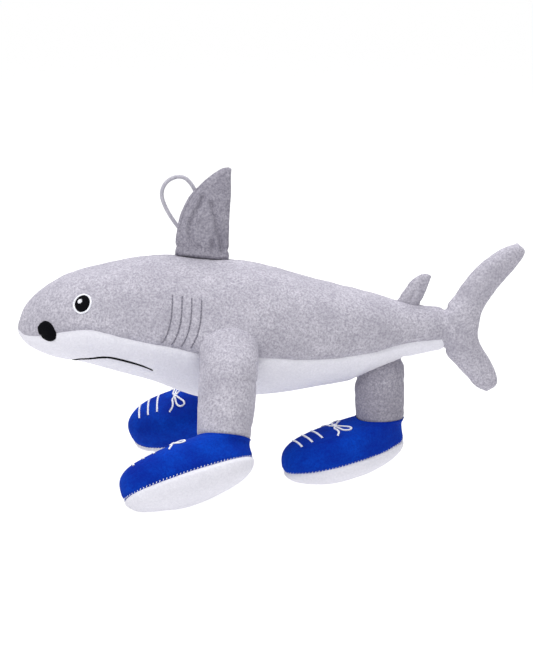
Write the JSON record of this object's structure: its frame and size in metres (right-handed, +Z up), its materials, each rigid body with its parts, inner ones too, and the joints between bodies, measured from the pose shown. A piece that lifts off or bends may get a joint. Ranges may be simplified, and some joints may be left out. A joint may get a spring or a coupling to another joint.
{
  "type": "plush shark",
  "caption": "Stuffed plush shark with grey back, white belly, three legs in laced blue plush shoes, dorsal fin, tail fin and a hang loop.",
  "frame": {"origin": "on the surface the toy stands on, under the middle of its length and width", "axes": "+Z up, nose towards -X, tail towards +X, the shark's own left side towards -Y"},
  "size_m": [0.3033, 0.1898, 0.1882],
  "materials": {
    "grey_plush": "short pile plush, lavender grey",
    "white_plush": "short pile plush, white",
    "blue_plush": "short pile plush, royal blue",
    "stuffing": "loose polyester fibre",
    "loop_cord": "round braided cord",
    "white_thread": "satin stitch embroidery",
    "black_thread": "satin stitch embroidery",
    "grey_thread": "single line embroidery"
  },
  "bodies": {
    "body": {"back_left": "grey_plush", "back_right": "grey_plush", "belly": "white_plush", "body_stuffing": "stuffing", "eye_rings": "white_thread", "pupils": "black_thread", "eye_glints": "white_thread", "nostrils": "black_thread", "gill_stitches": "grey_thread", "mouth_stitches": "black_thread"},
    "dorsal_fin": {"dorsal_fin_left": "grey_plush", "dorsal_fin_right": "grey_plush", "dorsal_fin_stuffing": "stuffing", "hang_loop": "loop_cord"},
    "rear_dorsal": {"rear_dorsal_left": "grey_plush", "rear_dorsal_right": "grey_plush", "rear_dorsal_stuffing": "stuffing"},
    "tail_fin": {"tail_fin_left": "grey_plush", "tail_fin_right": "grey_plush", "tail_fin_stuffing": "stuffing"},
    "front_left_foot": {"front_left_leg": "grey_plush", "front_left_leg_stuffing": "stuffing", "front_left_shoe_upper": "blue_plush", "front_left_shoe_sole": "white_plush", "front_left_shoe_stuffing": "stuffing", "front_left_laces": "white_thread"},
    "front_right_foot": {"front_right_leg": "grey_plush", "front_right_leg_stuffing": "stuffing", "front_right_shoe_upper": "blue_plush", "front_right_shoe_sole": "white_plush", "front_right_shoe_stuffing": "stuffing", "front_right_laces": "white_thread"},
    "rear_foot": {"rear_leg": "grey_plush", "rear_leg_stuffing": "stuffing", "rear_shoe_upper": "blue_plush", "rear_shoe_sole": "white_plush", "rear_shoe_stuffing": "stuffing", "rear_laces": "white_thread"}
  },
  "joints": [
    {"name": "front_left_leg_swing", "type": "hinge", "parent": "body", "child": "front_left_foot", "pos_m": [-0.0263, -0.0454, 0.0797], "axis": [0, 1, 0], "range_deg": [-20, 20], "stiffness_Nm_per_rad": 0.6},
    {"name": "front_right_leg_swing", "type": "hinge", "parent": "body", "child": "front_right_foot", "pos_m": [-0.0263, 0.0454, 0.0797], "axis": [0, 1, 0], "range_deg": [-20, 20], "stiffness_Nm_per_rad": 0.6},
    {"name": "rear_leg_swing", "type": "hinge", "parent": "body", "child": "rear_foot", "pos_m": [0.065, 0, 0.0506], "axis": [0, 1, 0], "range_deg": [-20, 20], "stiffness_Nm_per_rad": 0.6},
    {"name": "tail_bend", "type": "hinge", "parent": "body", "child": "tail_fin", "pos_m": [0.10425, 0, 0.0905], "axis": [0, 0, 1], "range_deg": [-25, 25], "stiffness_Nm_per_rad": 0.15},
    {"name": "dorsal_fin_flop", "type": "hinge", "parent": "body", "child": "dorsal_fin", "pos_m": [-0.0425, 0, 0.14], "axis": [0.9962, 0, -0.0872], "range_deg": [-20, 20], "stiffness_Nm_per_rad": 0.05},
    {"name": "rear_dorsal_flop", "type": "hinge", "parent": "body", "child": "rear_dorsal", "pos_m": [0.081, 0, 0.1089], "axis": [0.9744, 0, -0.225], "range_deg": [-20, 20], "stiffness_Nm_per_rad": 0.02}
  ]
}
